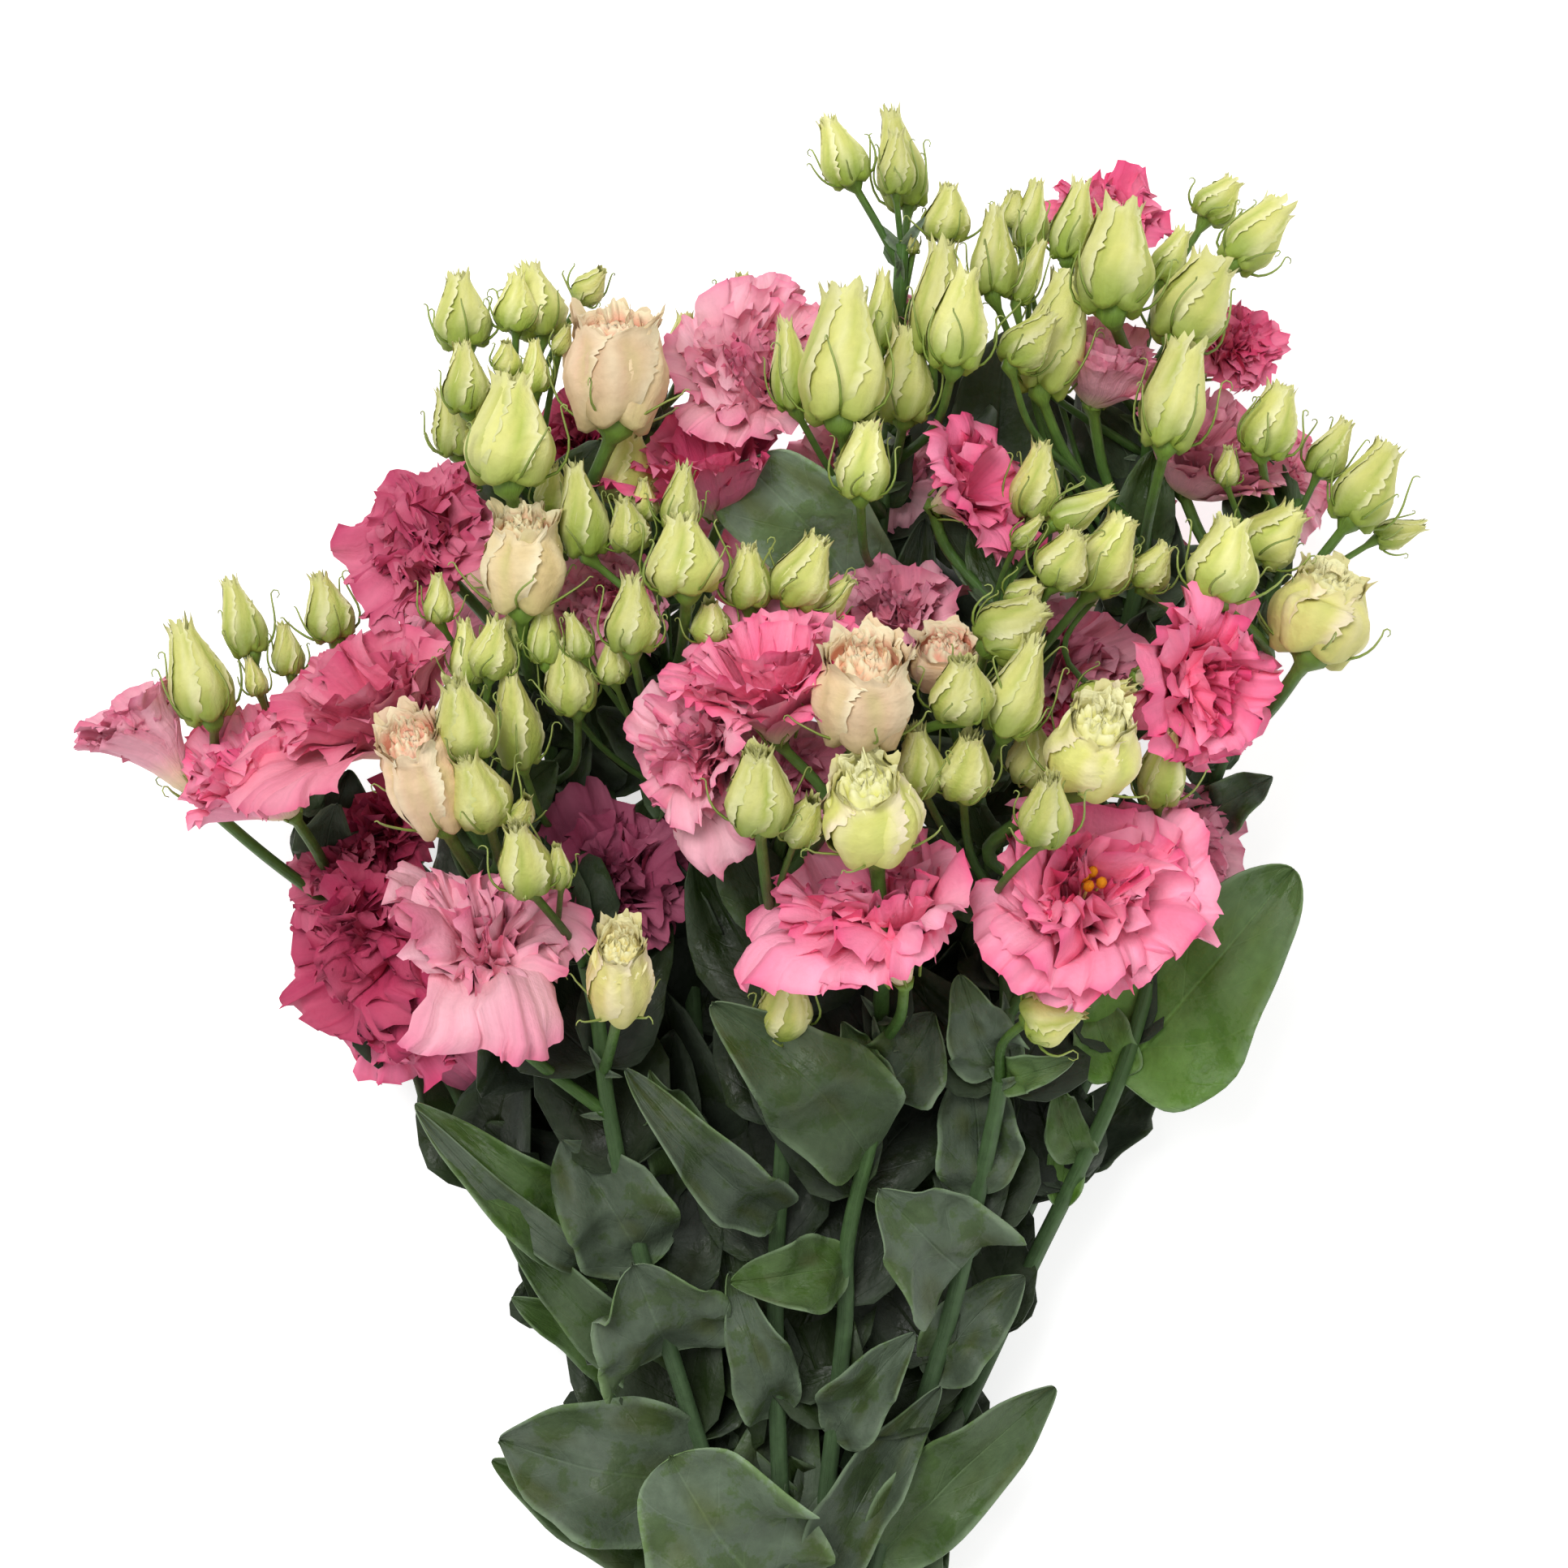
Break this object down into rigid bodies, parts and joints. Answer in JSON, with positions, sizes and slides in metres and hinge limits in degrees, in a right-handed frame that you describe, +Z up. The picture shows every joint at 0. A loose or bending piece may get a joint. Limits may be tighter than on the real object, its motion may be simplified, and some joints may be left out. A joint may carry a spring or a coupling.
{
  "type": "lisianthus bunch",
  "caption": "Tied bunch of cut lisianthus lying down: leafy stems with ruffled pink double blooms, cream opening buds and lime green buds.",
  "frame": {"origin": "on the surface that the bunch lies on, under the middle of its box", "axes": "+Y from the cut ends towards the flowers, +Z up, +X to the right as seen from above with the flowers at the top"},
  "size_m": [0.3502, 0.6014, 0.1817],
  "materials": {
    "foliage": "satin waxy leaf",
    "cream_petal": "soft petal",
    "pink_petal": "soft petal",
    "tie": "matt elastic band"
  },
  "bodies": {
    "root": {"leafy_stem_far_left": "foliage", "leafy_stem_left_low": "foliage", "leafy_stem_upper_left": "foliage", "leafy_stem_top": "foliage", "leafy_stem_upper_right": "foliage", "leafy_stem_far_right": "foliage", "leafy_stem_left": "foliage", "leafy_stem_upper_left_low": "foliage", "leafy_stem_centre_left": "foliage", "leafy_stem_mid_right": "foliage", "leafy_stem_right": "foliage", "leafy_stem_left_front": "foliage", "leafy_stem_centre": "foliage", "leafy_stem_front_centre": "foliage", "leafy_stem_front_right": "foliage", "opening_bud_upper_left": "cream_petal", "opening_bud_mid_left": "cream_petal", "opening_bud_left": "cream_petal", "opening_bud_lower_left": "cream_petal", "opening_bud_centre": "cream_petal", "opening_bud_front": "cream_petal", "opening_bud_right": "cream_petal", "opening_bud_far_right": "cream_petal", "opening_bud_mid_right": "cream_petal", "bloom_far_left_outer": "pink_petal", "bloom_far_left_inner": "pink_petal", "bloom_left_upper": "pink_petal", "bloom_left_top": "pink_petal", "bloom_left_dark": "pink_petal", "bloom_left_front": "pink_petal", "bloom_left_lowest": "pink_petal", "bloom_left_behind": "pink_petal", "bloom_shade_left": "pink_petal", "bloom_front_left": "pink_petal", "bloom_front_right": "pink_petal", "bloom_behind_right": "pink_petal", "bloom_right": "pink_petal", "bloom_upper_middle": "pink_petal", "bloom_upper_middle_low": "pink_petal", "bloom_upper_left_dark": "pink_petal", "bloom_mid_left": "pink_petal", "bloom_middle": "pink_petal", "bloom_middle_left": "pink_petal", "bloom_middle_low": "pink_petal", "bloom_mid_right": "pink_petal", "bloom_right_behind": "pink_petal", "bloom_upper_right_hot": "pink_petal", "bloom_upper_behind": "pink_petal", "bloom_cup_right": "pink_petal", "bloom_top_right": "pink_petal", "bloom_upper_right_edge": "pink_petal", "bloom_cup_far_right": "pink_petal", "bloom_far_right_behind": "pink_petal", "bloom_under_left": "pink_petal", "bloom_under_right": "pink_petal", "bloom_under_middle": "pink_petal", "tie_band": "tie"}
  },
  "joints": []
}
